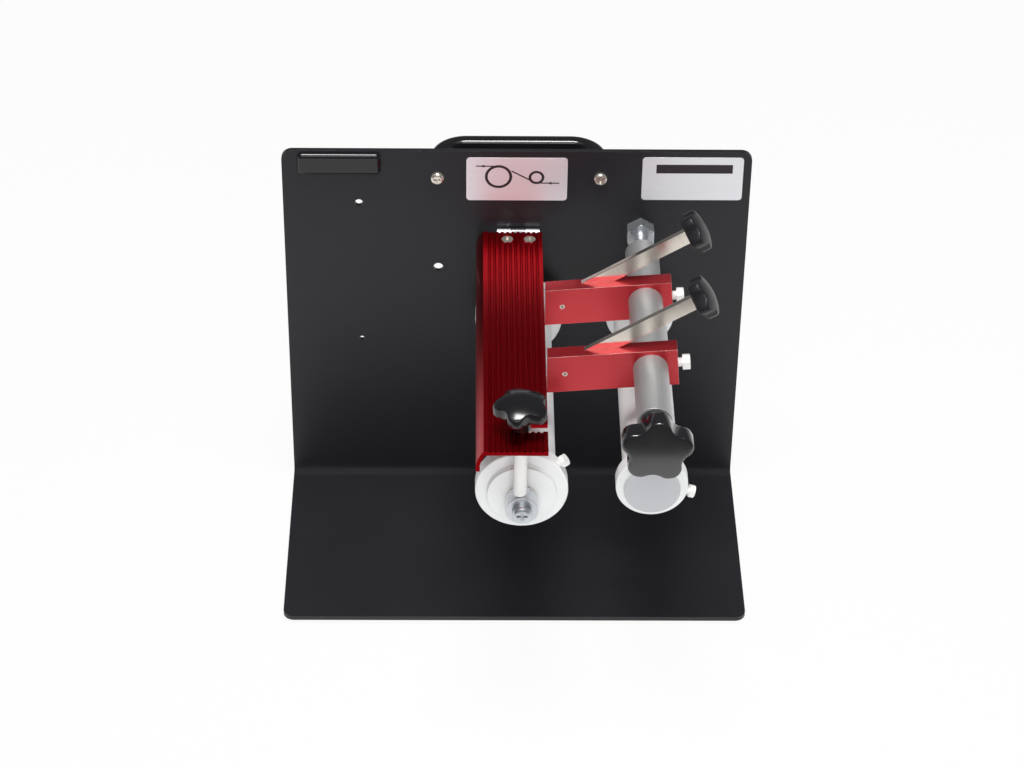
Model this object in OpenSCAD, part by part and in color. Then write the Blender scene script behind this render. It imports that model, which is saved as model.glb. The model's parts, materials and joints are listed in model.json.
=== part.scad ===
// Bench-top label slitter: a bent steel stand carries two web rollers, a pivoting
// blade carriage with two sliding arms, and a hinged guard over the large roller.
// Depths are counted forwards from the front face of the upright, heights from the
// top face of the base. The origin is on the floor, at the middle of the outline.

/* [Stand] */
// Width of the bent plate
plate_w = 280; // [240:1:340]
// Thickness of the sheet
plate_t = 3; // [2:0.5:5]
// Height of the upright above the base
back_h = 243; // [235:1:300]
// Depth of the base in front of the upright
base_depth = 141; // [120:1:240]
// Radius of the plate's outer corners
corner_r = 6.5; // [2:0.5:15]
// Inside radius of the bend
bend_r = 2.5; // [1:0.5:6]
// Diameter of a foot
foot_d = 16; // [10:1:24]
// Height of a foot
foot_h = 3; // [2:0.5:8]
// Distance of a foot's centre from the base's edges
foot_inset = 18; // [14:1:40]

/* [Accessory holes] */
// Diameter of the upper hole
upper_hole_d = 4.8; // [3:0.1:6]
// Place of the upper hole
upper_hole_x = -94.5; // [-110:0.5:-80]
// Distance of the upper hole below the plate's top
upper_hole_drop = 37; // [30:0.5:50]
// Diameter of the middle hole
middle_hole_d = 6; // [3:0.1:8]
// Place of the middle hole
middle_hole_x = -47; // [-60:0.5:-40]
// Height of the middle hole
middle_hole_z = 159; // [145:0.5:175]
// Diameter of the lower hole
lower_hole_d = 3.2; // [2:0.1:6]
// Place of the lower hole
lower_hole_x = -94.5; // [-110:0.5:-80]
// Height of the lower hole
lower_hole_z = 105; // [90:0.5:130]

/* [Carrying handle] */
// Distance between the handle's screws
handle_span = 97.4; // [80:0.2:120]
// Sideways offset of the handle
handle_x = 1.3; // [-10:0.1:10]
// Distance of the handle's middle below the plate's top
handle_drop = 18.8; // [14:0.2:30]
// Reach of the handle behind the upright
handle_reach = 33; // [26:0.5:50]
// Thickness of the grip
handle_bar = 8.5; // [8:0.5:12]
// Height of the grip
handle_h = 16; // [10:1:24]
// Edge radius of the grip
handle_edge = 3; // [1:0.5:4]
// Bend radius along the grip's middle
handle_bend = 17.5; // [10:0.5:20]
// Diameter of the handle's screws
handle_screw_d = 4; // [3:0.5:5]
// Diameter of their pan heads
handle_head_d = 8; // [6:0.5:10]
// Height of their pan heads
handle_head_h = 2.6; // [2:0.1:4]
// Depth of the thread in the handle
handle_thread = 10; // [6:1:10]

/* [Studs] */
// Diameter of the three studs
stud_d = 10; // [8:0.5:10]
// Width across flats of their nuts
nut_af = 16; // [14:0.5:18]
// Height of their nuts
nut_h = 8.4; // [6:0.2:9]
// Diameter of the washers behind the upright
stud_washer_d = 20; // [18:1:26]
// Thickness of the washers behind the upright
stud_washer_t = 2; // [1:0.5:3]
// Length of thread showing behind the rear nut
stud_tail = 3; // [1:0.5:6]

/* [Large roller] */
// Place of the large roller
drum_x = 2; // [-4:0.5:8]
// Height of the large roller
drum_z = 133.3; // [125:0.1:138]
// Diameter of the large tube
drum_d = 39.4; // [34:0.2:44]
// Diameter of the large roller's flange and guide
drum_flange_d = 52.8; // [48:0.2:60]
// Depth of the large roller's front face
drum_front = 187.3; // [182:0.1:192]
// Distance of the guide behind the front face
drum_guide_back = 4.5; // [3:0.1:12]

/* [Small roller] */
// Place of the small roller
idler_x = 75.9; // [72:0.1:80]
// Height of the small roller
idler_z = 135.2; // [128:0.1:140]
// Diameter of the small tube
idler_d = 32; // [30:0.2:36]
// Diameter of the small roller's flange and guide
idler_flange_d = 41.2; // [38:0.2:48]
// Depth of the small roller's front face
idler_front = 185.2; // [180:0.1:190]
// Distance of the guide behind the front face
idler_guide_back = 3.6; // [3:0.1:12]
// Depth of the small axle's front end
idler_axle_end = 166; // [150:1:168]

/* [Both rollers] */
// Wall of both tubes
tube_wall = 3; // [2:0.2:4]
// Thickness of the rear flanges
flange_t = 10; // [6:0.5:12]
// Thickness of the front guides
guide_t = 10; // [8.5:0.5:12]
// Length of the end plugs
plug_len = 15; // [10:1:18]
// Thickness of the rim that covers a tube's end
end_rim = 2; // [1:0.5:3]
// Outside diameter of the bushes
bush_d = 14; // [13:0.5:15]
// Length of the large roller's front bush outside its plug
bush_proud = 2.2; // [1:0.1:3]

/* [Axle end] */
// Diameter of the large washer
drum_washer_d = 17.5; // [15:0.5:22]
// Thickness of the large washer
drum_washer_t = 2; // [1:0.5:3]
// Diameter of the spacer that the guard's post stands on
spacer_d = 18.6; // [14:0.2:20]
// Length of that spacer
spacer_len = 9.2; // [8.6:0.1:12]
// Diameter of the lock washer and of the end screws' heads
end_head_d = 11.2; // [10:0.2:12.5]
// Thickness of the lock washer
lock_washer_t = 1.2; // [0.8:0.1:2]
// Height of the end screws' heads
end_head_h = 3.7; // [3:0.1:5]
// Diameter of the end screws
end_screw_d = 6; // [4:0.5:6]
// Length of the end screws' threads
end_screw_len = 20; // [16:1:24]

/* [Nylon bolts] */
// Diameter of the arms' bolts
arm_bolt_d = 5.2; // [4:0.1:6]
// Width across flats of their heads
arm_bolt_af = 8.4; // [7:0.1:9]
// Height of their heads
arm_bolt_head = 4.4; // [3:0.1:6]
// Length of thread showing under their heads
arm_bolt_show = 2.6; // [1:0.1:4]
// Diameter of the guides' bolts
guide_bolt_d = 4.2; // [3:0.1:6]
// Width across flats of their heads
guide_bolt_af = 6.8; // [6:0.1:9]
// Height of their heads
guide_bolt_head = 3.2; // [2.4:0.1:5]
// Length of thread showing under their heads
guide_bolt_show = 1.8; // [1:0.1:4]
// Direction of the large guide's bolt above the horizontal
drum_bolt_angle = 37; // [0:1:60]
// Direction of the small guide's bolt above the horizontal
idler_bolt_angle = -17; // [-60:1:0]

/* [Blade shaft] */
// Place of the blade shaft
shaft_x = 75.1; // [73:0.1:78]
// Height of the blade shaft
shaft_z = 186.7; // [182:0.1:192]
// Diameter of the shaft tube
shaft_tube_d = 20; // [18:0.2:21]
// Bore of the shaft tube
shaft_bore_d = 13; // [12:0.2:14]
// Depth of the shaft tube's rear end
shaft_rear = 23.8; // [12:0.1:24]
// Depth of the shaft tube's front end
shaft_front = 188.1; // [182:0.1:195]
// Diameter of the counterbore at the tube's front end
shaft_counterbore_d = 16.6; // [15.4:0.2:17]
// Depth of that counterbore
shaft_counterbore = 16; // [14:0.5:20]
// Length of the two bushes in the tube
shaft_bush_len = 14; // [10:1:20]
// Length of the knob's plug in the tube
knob_plug = 7; // [5:0.5:8]

/* [Arms] */
// Tilt of the arms at rest, left end down
arm_tilt = 4.8; // [0:0.1:8]
// Height of an arm
arm_h = 24.6; // [23.6:0.2:26]
// Thickness of an arm
arm_t = 9.5; // [9:0.5:12]
// Length of an arm to the right of the shaft
arm_right = 15.7; // [14:0.1:20]
// Depth of the rear arm's middle
rear_arm_depth = 68.9; // [60:0.1:75]
// Depth of the front arm's middle
front_arm_depth = 134; // [128:0.1:138]

/* [Blades] */
// Angle between a blade bar and its arm
bar_angle = 27.4; // [24:0.1:32]
// Width of a blade bar
bar_w = 9; // [7:0.5:10]
// Thickness of a blade bar
bar_t = 3; // [2:0.5:4]
// Length of a blade bar
bar_len = 87.1; // [75:0.1:95]
// Distance of a blade bar behind the arm's middle
bar_back = 2.3; // [0:0.1:2.4]
// Height of a blade bar above its set screw
bar_rise = 0.9; // [0:0.1:1.5]
// Place of the set screw to the left of the shaft
set_screw_u = 48.8; // [46:0.1:50]
// Height of the set screw above the arm's middle
set_screw_w = 0; // [-1:0.1:1]
// Diameter of the set screw
set_screw_d = 3; // [2.5:0.5:4]
// Width across flats of its socket
set_screw_af = 1.5; // [1.2:0.1:2]
// Depth of its socket
set_screw_socket = 1.5; // [1:0.1:2]
// Thickness of a blade
blade_t = 0.6; // [0.4:0.1:1]
// Length of a blade held in its bar
blade_held = 12; // [8:1:16]
// Distance of a retracted blade's point inside the arm
blade_inside = 0.8; // [0.5:0.1:2]
// Length of a blade's slanted point
blade_point = 6; // [3:0.5:9]

/* [Star knobs] */
// Diameter of the shaft knob
shaft_knob_d = 41; // [34:0.5:42]
// Thickness of the shaft knob's head
shaft_knob_head = 12; // [10:0.5:14]
// Length of the shaft knob's boss
shaft_knob_boss = 15.5; // [12:0.5:18]
// Diameter of the shaft knob's boss
shaft_boss_d = 17.6; // [17:0.2:22]
// Diameter of the guard knob
guard_knob_d = 31.5; // [26:0.5:32]
// Thickness of the guard knob's head
guard_knob_head = 10.5; // [8:0.5:12]
// Rise of the guard knob's domed face
guard_knob_crown = 4.5; // [1:0.5:5]
// Length of the guard knob's boss
guard_knob_boss = 9.5; // [8:0.5:14]
// Diameter of the guard knob's boss
guard_boss_d = 11; // [9:0.5:16]
// Diameter of the blade knobs
blade_knob_d = 26; // [22:0.5:27]
// Thickness of the blade knobs' heads
blade_knob_head = 10; // [8:0.5:12]
// Rise of the blade knobs' domed faces
blade_knob_crown = 3; // [1:0.5:4]
// Length of the blade knobs' bosses
blade_knob_boss = 1; // [1:0.5:8]
// Diameter of the blade knobs' bosses
blade_boss_d = 12; // [10.5:0.5:14]
// Lobes of a star knob
knob_lobes = 5; // [5:1:7]
// Radius of the rounded edges of a knob
knob_edge = 2; // [1:0.5:2.5]

/* [Guard] */
// Place of the guard's left edge
guard_left = -19.9; // [-22:0.1:-16]
// Place of the guard's right edge
guard_right = 15.6; // [14:0.1:17]
// Depth of the guard's front edge
guard_front = 217.6; // [212:0.1:225]
// Height of the guard's top
guard_top = 189.3; // [186:0.1:194]
// Thickness of the guard
guard_t = 2.8; // [2.5:0.1:4]
// Outer radius of the guard's curved left side
lip_r = 19; // [15:0.5:24]
// Thickness of that curved side
lip_t = 2.2; // [1.6:0.1:3]
// Drop of that curved side below the top
lip_drop = 14; // [10:0.5:20]
// Grooves along the guard's top
grooves = 10; // [6:1:10]
// Distance between the grooves
groove_pitch = 3.15; // [2.5:0.05:3.2]
// Radius of a groove
groove_r = 0.9; // [0.5:0.1:1.2]
// Place of the grooves' middle
groove_x = -2; // [-4:0.1:0]
// Width of the slot for the knob's stud
slot_w = 6.6; // [6:0.1:7]
// Diameter of the knob's stud
guard_stud_d = 5; // [4:0.5:5.5]
// Length of the stud in the post and in the knob
guard_stud_grip = 9; // [6:0.5:10]
// Place of the post
post_x = 0.9; // [-1:0.1:3]
// Diameter of the post
post_d = 7.6; // [7.4:0.1:8.4]

/* [Hinge] */
// Length of the hinge
hinge_len = 25.8; // [22:0.2:28]
// Place of the hinge's middle
hinge_x = 1.4; // [0:0.1:2]
// Width of a leaf
leaf_w = 16; // [14:0.5:20]
// Thickness of a leaf
leaf_t = 1.2; // [0.8:0.1:1.5]
// Diameter of the barrel
barrel_d = 4.8; // [4.6:0.1:5.2]
// Diameter of the pin
pin_d = 2.4; // [2:0.1:2.6]
// Distance between the screws of a leaf
leaf_screw_span = 13.4; // [11:0.1:16]
// Distance of the screws from the barrel
leaf_screw_back = 10; // [8:0.1:11]
// Diameter of the leaf screws
leaf_screw_d = 3; // [2.5:0.1:3.5]
// Diameter of their heads
leaf_head_d = 7; // [6:0.1:7.5]
// Height of the heads on the upright
leaf_head_h = 1.6; // [1:0.1:2]

/* [Clearances] */
// Radial clearance of running and sliding fits
run_fit = 0.05; // [0.02:0.01:0.09]
// Radial clearance of pressed and threaded fits
seat_fit = 0.02; // [0.01:0.01:0.05]
// Clearance of a blade bar in its slot, on each side
slot_fit = 0.1; // [0.05:0.01:0.2]
// Radial clearance of bolt holes
hole_fit = 0.15; // [0.1:0.05:0.3]
// Gap between faces that move past each other
face_gap = 0.3; // [0.2:0.05:0.6]

/* [Hidden] */
$fn = 64;
eps = 0.01;
base_top = foot_h + plate_t;
handle_back = plate_t + handle_reach;
handle_z = back_h - handle_drop;
upper_hole_z = back_h - upper_hole_drop;
back_y = (guard_front - handle_back) / 2;
stud_r = stud_d / 2;
stud_back = plate_t + stud_washer_t + nut_h + stud_tail;
roller_rear = nut_h + 2 * face_gap;
drum_r = drum_d / 2;
idler_r = idler_d / 2;
drum_guide_depth = drum_front - drum_guide_back - guide_t;
idler_guide_depth = idler_front - idler_guide_back - guide_t;
drum_washer_depth = drum_front + bush_proud + face_gap;
drum_axle_end = drum_washer_depth + drum_washer_t;
post_depth = drum_axle_end + spacer_len / 2;
lock_washer_depth = drum_axle_end + spacer_len;
drum_screw_depth = lock_washer_depth + lock_washer_t;
retainer_t = 1.5;
shaft_r = shaft_tube_d / 2;
shaft_shoulder = shaft_front - shaft_counterbore;
shaft_washer_depth = shaft_shoulder + face_gap;
arm_reach = shaft_x - guard_right - face_gap;
arm_left = sqrt(pow(arm_reach, 2) - pow(arm_h / 2, 2));
arm_slant = arm_h * tan(arm_tilt);
bar_start = -set_screw_d / 2;
edge_u = set_screw_u - bar_w / 2 * sin(bar_angle);
edge_w = set_screw_w + bar_rise - bar_w / 2 * cos(bar_angle);
end_u = arm_left + (arm_h / 2 - edge_w) * tan(arm_tilt);
blade_tip = (edge_u - end_u) / (cos(bar_angle) - sin(bar_angle) * tan(arm_tilt)) + blade_inside;
guard_under = guard_top - guard_t;
lip_rise = lip_drop - 2;
barrel_r = barrel_d / 2;
hinge_depth = barrel_r + 2 * face_gap;
hinge_z = guard_top - barrel_r;
guard_rear = hinge_depth + barrel_r + face_gap;
knuckle_len = hinge_len / 3 - face_gap;
leaf_screw_depth = hinge_depth + leaf_screw_back;
leaf_screw_z = hinge_z - leaf_screw_back;
leaf_screw_xs = [hinge_x - leaf_screw_span / 2, hinge_x + leaf_screw_span / 2];
handle_xs = [handle_x - handle_span / 2, handle_x + handle_span / 2];
studs = [[drum_x, drum_z], [idler_x, idler_z], [shaft_x, shaft_z]];
knob_trim = 0.3;
knob_overlap = 0.05;
dome_flat = 0.05;
lobe_share = 0.17;
hollow_share = 0.6;
recess_share = 0.55;
crown_share = 0.6;
guard_knob_turn = 38.4;
shaft_knob_turn = 13.7;
blade_knob_turn = 36;

plate_black = [0.17, 0.17, 0.19];
grip_black = [0.07, 0.07, 0.08];
roller_white = [0.9, 0.9, 0.88];
nylon_white = [0.93, 0.93, 0.9];
anodised_red = [0.7, 0.12, 0.15];
zinc = [0.75, 0.77, 0.78];
aluminium = [0.72, 0.72, 0.71];
bright_steel = [0.82, 0.8, 0.77];
bronze = [0.66, 0.5, 0.3];

// Places its children at a point given by place, depth and height
module at(x, depth, z) {
  translate([x, back_y - depth, base_top + z]) children();
}

// The same, with the children's Z axis pointing forwards and their Y axis up
module facing(x, depth, z) {
  at(x, depth, z) rotate([90, 0, 0]) children();
}

// Round bar with a chamfer on both ends
module bar(r, len, chamfer = 0.6) {
  rotate_extrude() polygon([[0, 0], [r - chamfer, 0], [r, chamfer], [r, len - chamfer],
                            [r - chamfer, len], [0, len]]);
}

// Ring with a plain bore
module ring(outer, inner, len) {
  difference() {
    cylinder(r = outer, h = len);
    translate([0, 0, -eps]) cylinder(r = inner, h = len + 2 * eps);
  }
}

// Ring whose outer edges are rounded
module rounded_ring(outer, inner, len, edge) {
  rotate_extrude() difference() {
    union() {
      square([outer - edge, len]);
      translate([0, edge]) square([outer, len - 2 * edge]);
      for (z = [edge, len - edge]) translate([outer - edge, z]) circle(edge);
    }
    translate([-edge, -eps]) square([inner + edge, len + 2 * eps]);
  }
}

// Disc with rounded edges
module rounded_disc(r, len, edge) {
  rotate_extrude() {
    square([r - edge, len]);
    translate([0, edge]) square([r, len - 2 * edge]);
    for (z = [edge, len - edge]) translate([r - edge, z]) circle(edge);
  }
}

// Disc with a rounded lower edge and a domed upper face that ends in a small flat
module domed_disc(r, len, edge, rise) {
  dome = (pow(r, 2) + pow(rise, 2)) / (2 * rise);
  intersection() {
    rotate_extrude() {
      square([r - edge, len]);
      translate([0, edge]) square([r, len - edge]);
      translate([r - edge, edge]) circle(edge);
    }
    translate([0, 0, len - dome + dome_flat]) sphere(dome);
  }
}

// Hexagon given by its width across flats, with a corner on the Y axis
module hexagon(af) {
  rotate(30) circle(r = af / sqrt(3), $fn = 6);
}

// Hexagonal prism with its corners turned down at the far end
module hex_head(af, len) {
  corner = af / sqrt(3);
  intersection() {
    linear_extrude(height = len) hexagon(af);
    rotate_extrude() polygon([[0, 0], [corner, 0], [corner, len - (corner - af / 2) * crown_share],
                              [af / 2, len], [0, len]]);
  }
}

// Cross recess, cut downwards from the origin
module cross_recess(size, depth) {
  for (turn = [0, 90]) rotate([0, 0, turn])
    translate([-size / 2, -size / 8, -depth]) cube([size, size / 4, depth + 1]);
}

// Pan head with its seat at the origin, its crown along +Z and its thread along -Z
module pan_screw(head_d, head_h, thread_d, thread_len) {
  edge = head_h * crown_share;
  difference() {
    union() {
      rotate_extrude() {
        square([head_d / 2 - edge, head_h]);
        square([head_d / 2, head_h - edge]);
        intersection() {
          translate([head_d / 2 - edge, head_h - edge]) circle(edge);
          square([head_d / 2, head_h]);
        }
      }
      translate([0, 0, -thread_len]) cylinder(d = thread_d, h = thread_len + eps);
    }
    translate([0, 0, head_h]) cross_recess(head_d * recess_share, head_h * recess_share);
  }
}

// Nylon bolt along +Z: tip at the origin, length of thread, then the head
module nylon_bolt(d, len, af, head) {
  cylinder(d = d, h = len + eps);
  translate([0, 0, len]) hex_head(af, head);
}

// Outline of a star knob: lobes that run into the hollows between them
module star_outline(d) {
  lobe = d * lobe_share;
  lobe_at = d / 2 - lobe + knob_trim;
  hollow_at = d * hollow_share;
  step = 360 / knob_lobes;
  apart = sqrt(pow(lobe_at, 2) + pow(hollow_at, 2) - 2 * lobe_at * hollow_at * cos(step / 2));
  hollow = apart - lobe + knob_overlap;
  difference() {
    polygon([for (i = [0 : 2 * knob_lobes - 1])
      (i % 2 == 0 ? lobe_at : hollow_at) * [cos(i * step / 2), sin(i * step / 2)]]);
    for (i = [0 : knob_lobes - 1]) rotate((i + 0.5) * step) translate([hollow_at, 0]) circle(hollow);
  }
  for (i = [0 : knob_lobes - 1]) rotate(i * step) translate([lobe_at, 0]) circle(lobe);
}

// Star knob along +Z: boss first, then the lobed head, cut from the disc that is its child
module star_knob(d, head, boss_d, boss) {
  cylinder(d = boss_d, h = boss + eps);
  translate([0, 0, boss]) intersection() {
    linear_extrude(height = head) star_outline(d);
    rotate([0, 0, 180 / knob_lobes]) children();
  }
}

// Bent sheet with rounded corners and all its holes
module frame_plate() {
  color(plate_black) difference() {
    at(-plate_w / 2, 0, 0) rotate([90, 0, 90]) linear_extrude(height = plate_w) bent_section();
    for (side = [-1, 1]) {
      at(side * plate_w / 2, -plate_t / 2, back_h) rotate([90, 0, 0]) corner_cut(side, -1);
      at(side * plate_w / 2, base_depth, -plate_t / 2) corner_cut(side, 1);
    }
    for (p = studs) plate_hole(p[0], p[1], stud_d + 2 * hole_fit);
    for (x = handle_xs) plate_hole(x, handle_z, handle_screw_d + 2 * hole_fit);
    for (x = leaf_screw_xs) plate_hole(x, leaf_screw_z, leaf_screw_d + 2 * seat_fit);
    plate_hole(upper_hole_x, upper_hole_z, upper_hole_d);
    plate_hole(middle_hole_x, middle_hole_z, middle_hole_d);
    plate_hole(lower_hole_x, lower_hole_z, lower_hole_d);
  }
}

// Section of the sheet: upright, base and bend; +X points backwards
module bent_section() {
  translate([0, bend_r]) square([plate_t, back_h - bend_r]);
  translate([-base_depth, -plate_t]) square([base_depth - bend_r, plate_t]);
  intersection() {
    difference() {
      translate([-bend_r, bend_r]) circle(bend_r + plate_t);
      translate([-bend_r, bend_r]) circle(bend_r);
    }
    translate([-bend_r, -plate_t]) square([bend_r + plate_t, bend_r + plate_t]);
  }
}

// Cutter that rounds one corner of the sheet
module corner_cut(side, ahead) {
  translate([0, 0, -plate_t]) linear_extrude(height = 2 * plate_t) difference() {
    translate([-corner_r, -corner_r]) square(2 * corner_r);
    translate([-side * corner_r, ahead * corner_r]) circle(corner_r);
    translate([side > 0 ? -2 * corner_r : corner_r, -2 * corner_r]) square([corner_r, 4 * corner_r]);
    translate([-2 * corner_r, ahead > 0 ? corner_r : -2 * corner_r]) square([4 * corner_r, corner_r]);
  }
}

// Cutter for one hole through the upright
module plate_hole(x, z, d) {
  facing(x, -plate_t - 1, z) cylinder(d = d, h = plate_t + 2);
}

module rubber_feet() {
  color(grip_black)
  for (x = [-plate_w / 2 + foot_inset, plate_w / 2 - foot_inset])
    for (depth = [foot_inset, base_depth - foot_inset])
      at(x, depth, -base_top) rotate_extrude()
        polygon([[0, 0], [foot_d / 2 - foot_h / 3, 0], [foot_d / 2, foot_h], [0, foot_h]]);
}

// Rounded section of the grip
module grip_section(w, h) {
  square([w - 2 * handle_edge, h], center = true);
  square([w, h - 2 * handle_edge], center = true);
  for (x = [-1, 1])
    for (y = [-1, 1])
      translate([x * (w / 2 - handle_edge), y * (h / 2 - handle_edge)]) circle(handle_edge);
}

module carry_handle() {
  grip_depth = -handle_back + handle_bar / 2;
  leg = -grip_depth - plate_t - handle_bend;
  color(grip_black) difference() {
    union() {
      for (side = [0, 1]) {
        at(handle_xs[side], -plate_t, handle_z) rotate([-90, 0, 0])
          linear_extrude(height = leg) grip_section(handle_bar, handle_h);
        at(handle_x, -plate_t - leg, handle_z) mirror([1 - side, 0, 0])
          translate([handle_span / 2 - handle_bend, 0, 0]) rotate_extrude(angle = 90)
            translate([handle_bend, 0]) grip_section(handle_bar, handle_h);
      }
      at(handle_xs[0] + handle_bend, grip_depth, handle_z) rotate([0, 90, 0])
        linear_extrude(height = handle_span - 2 * handle_bend) grip_section(handle_h, handle_bar);
    }
    for (x = handle_xs) facing(x, -plate_t - handle_thread, handle_z)
      cylinder(d = handle_screw_d + 2 * seat_fit, h = handle_thread + eps);
  }
}

module handle_screws() {
  color(bright_steel) for (x = handle_xs) facing(x, 0, handle_z)
    pan_screw(handle_head_d, handle_head_h, handle_screw_d, plate_t + handle_thread - 1);
}

// One nut on each side of the upright for each stud
module stud_nuts() {
  color(zinc) for (p = studs) for (depth = [0, -plate_t - stud_washer_t - nut_h])
    facing(p[0], depth, p[1]) difference() {
      hex_head(nut_af, nut_h);
      translate([0, 0, -eps]) cylinder(r = stud_r + seat_fit, h = nut_h + 2 * eps);
    }
}

module stud_washers() {
  color(zinc) for (p = studs) facing(p[0], -plate_t - stud_washer_t, p[1])
    ring(stud_washer_d / 2, stud_r + hole_fit, stud_washer_t);
}

// Stud clamped in the upright, with a tapped hole in its front end
module clamped_stud(x, z, end) {
  facing(x, -stud_back, z) difference() {
    bar(stud_r, stud_back + end);
    translate([0, 0, stud_back + end - end_screw_len])
      cylinder(d = end_screw_d + 2 * seat_fit, h = end_screw_len + eps);
  }
}

module drum_axle() {
  color(zinc) clamped_stud(drum_x, drum_z, drum_axle_end);
}

// Roller tube from the rear to its covered front end
module roller_tube(x, z, r, front) {
  facing(x, roller_rear, z) ring(r, r - tube_wall, front - end_rim - roller_rear);
}

// Flange fixed round the rear end of a tube
module rear_flange(x, z, flange_d, r) {
  facing(x, roller_rear, z) rounded_ring(flange_d / 2, r + seat_fit, flange_t, 1);
}

// Guide collar that slides on a tube, with a tapped hole for its bolt
module front_guide(x, z, flange_d, r, depth, bolt_angle) {
  facing(x, depth, z) difference() {
    rounded_ring(flange_d / 2, r + run_fit, guide_t, 1);
    translate([0, 0, guide_t / 2]) rotate([0, 0, bolt_angle]) rotate([0, 90, 0])
      cylinder(d = guide_bolt_d + 2 * run_fit, h = flange_d);
  }
}

// Bolt that clamps a guide collar on its tube
module guide_bolt(x, z, flange_d, r, depth, bolt_angle) {
  tip = r + face_gap;
  facing(x, depth + guide_t / 2, z) rotate([0, 0, bolt_angle]) rotate([0, 90, 0])
    translate([0, 0, tip])
      nylon_bolt(guide_bolt_d, flange_d / 2 - tip + guide_bolt_show, guide_bolt_af, guide_bolt_head);
}

// Plug in the end of a tube, bored for a bush
module end_plug(x, z, r, depth) {
  facing(x, depth, z) ring(r - tube_wall - seat_fit, bush_d / 2 + seat_fit, plug_len);
}

module bush(x, z, depth, len) {
  facing(x, depth, z) ring(bush_d / 2, stud_r + run_fit, len);
}

module drum_tube() {
  color(roller_white) roller_tube(drum_x, drum_z, drum_r, drum_front);
}

module drum_rear_flange() {
  color(roller_white) rear_flange(drum_x, drum_z, drum_flange_d, drum_r);
}

module drum_front_guide() {
  color(roller_white)
    front_guide(drum_x, drum_z, drum_flange_d, drum_r, drum_guide_depth, drum_bolt_angle);
}

module drum_guide_bolt() {
  color(nylon_white)
    guide_bolt(drum_x, drum_z, drum_flange_d, drum_r, drum_guide_depth, drum_bolt_angle);
}

// The front plug has a rim that covers the tube's end
module drum_plugs() {
  color(roller_white) {
    end_plug(drum_x, drum_z, drum_r, roller_rear);
    end_plug(drum_x, drum_z, drum_r, drum_front - plug_len);
    facing(drum_x, drum_front - end_rim, drum_z)
      rounded_ring(drum_r, bush_d / 2 + seat_fit, end_rim, end_rim / 4);
  }
}

module drum_bushes() {
  color(bronze) {
    bush(drum_x, drum_z, roller_rear, plug_len);
    bush(drum_x, drum_z, drum_front - plug_len, plug_len + bush_proud);
  }
}

module drum_washer() {
  color(zinc) facing(drum_x, drum_washer_depth, drum_z)
    ring(drum_washer_d / 2, stud_r + hole_fit, drum_washer_t);
}

module axle_spacer() {
  color(zinc) facing(drum_x, drum_axle_end, drum_z)
    ring(spacer_d / 2, end_screw_d / 2 + hole_fit, spacer_len);
}

module axle_lock_washer() {
  color(zinc) facing(drum_x, lock_washer_depth, drum_z)
    ring(end_head_d / 2, end_screw_d / 2 + hole_fit, lock_washer_t);
}

module axle_screw() {
  color(zinc) facing(drum_x, drum_screw_depth, drum_z)
    pan_screw(end_head_d, end_head_h, end_screw_d, drum_screw_depth - drum_axle_end + end_screw_len - 1);
}

module idler_axle() {
  color(zinc) clamped_stud(idler_x, idler_z, idler_axle_end);
}

module idler_tube() {
  color(roller_white) roller_tube(idler_x, idler_z, idler_r, idler_front);
}

module idler_rear_flange() {
  color(roller_white) rear_flange(idler_x, idler_z, idler_flange_d, idler_r);
}

module idler_front_guide() {
  color(roller_white)
    front_guide(idler_x, idler_z, idler_flange_d, idler_r, idler_guide_depth, idler_bolt_angle);
}

module idler_guide_bolt() {
  color(nylon_white)
    guide_bolt(idler_x, idler_z, idler_flange_d, idler_r, idler_guide_depth, idler_bolt_angle);
}

// The front plug lies behind the end of the axle
module idler_plugs() {
  color(roller_white) {
    end_plug(idler_x, idler_z, idler_r, roller_rear);
    end_plug(idler_x, idler_z, idler_r, idler_axle_end - face_gap - plug_len);
  }
}

module idler_bushes() {
  color(bronze) {
    bush(idler_x, idler_z, roller_rear, plug_len);
    bush(idler_x, idler_z, idler_axle_end - face_gap - plug_len, plug_len);
  }
}

// Closed cap: a rim over the tube's end and a spigot inside it
module idler_end_cap() {
  color(roller_white) {
    facing(idler_x, idler_front - end_rim, idler_z) rounded_disc(idler_r, end_rim, end_rim / 4);
    facing(idler_x, idler_front - 3 * end_rim, idler_z)
      cylinder(r = idler_r - tube_wall - seat_fit, h = 2 * end_rim + eps);
  }
}

module idler_washer() {
  color(zinc) facing(idler_x, idler_axle_end, idler_z)
    ring(bush_d / 2 + 1, end_screw_d / 2 + hole_fit, retainer_t);
}

module idler_screw() {
  color(zinc) facing(idler_x, idler_axle_end + retainer_t, idler_z)
    pan_screw(end_head_d, end_head_h, end_screw_d, retainer_t + end_screw_len - 1);
}

module shaft_stud() {
  color(zinc) clamped_stud(shaft_x, shaft_z, shaft_washer_depth);
}

// Tube with a counterbore at its front end
module shaft_tube() {
  color(aluminium) facing(shaft_x, shaft_rear, shaft_z) difference() {
    ring(shaft_r, shaft_bore_d / 2, shaft_front - shaft_rear);
    translate([0, 0, shaft_shoulder - shaft_rear])
      cylinder(d = shaft_counterbore_d, h = shaft_counterbore + eps);
  }
}

module shaft_bushes() {
  color(bronze) for (depth = [shaft_rear, shaft_shoulder - shaft_bush_len])
    facing(shaft_x, depth, shaft_z)
      ring(shaft_bore_d / 2 - seat_fit, stud_r + run_fit, shaft_bush_len);
}

// Washer on the stud's end that keeps the tube from sliding off
module shaft_washer() {
  color(zinc) facing(shaft_x, shaft_washer_depth, shaft_z)
    ring(shaft_counterbore_d / 2 - face_gap, end_screw_d / 2 + hole_fit, retainer_t);
}

module shaft_screw() {
  color(zinc) facing(shaft_x, shaft_washer_depth + retainer_t, shaft_z)
    pan_screw(end_head_d, end_head_h, end_screw_d, retainer_t + end_screw_len - 1);
}

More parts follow.
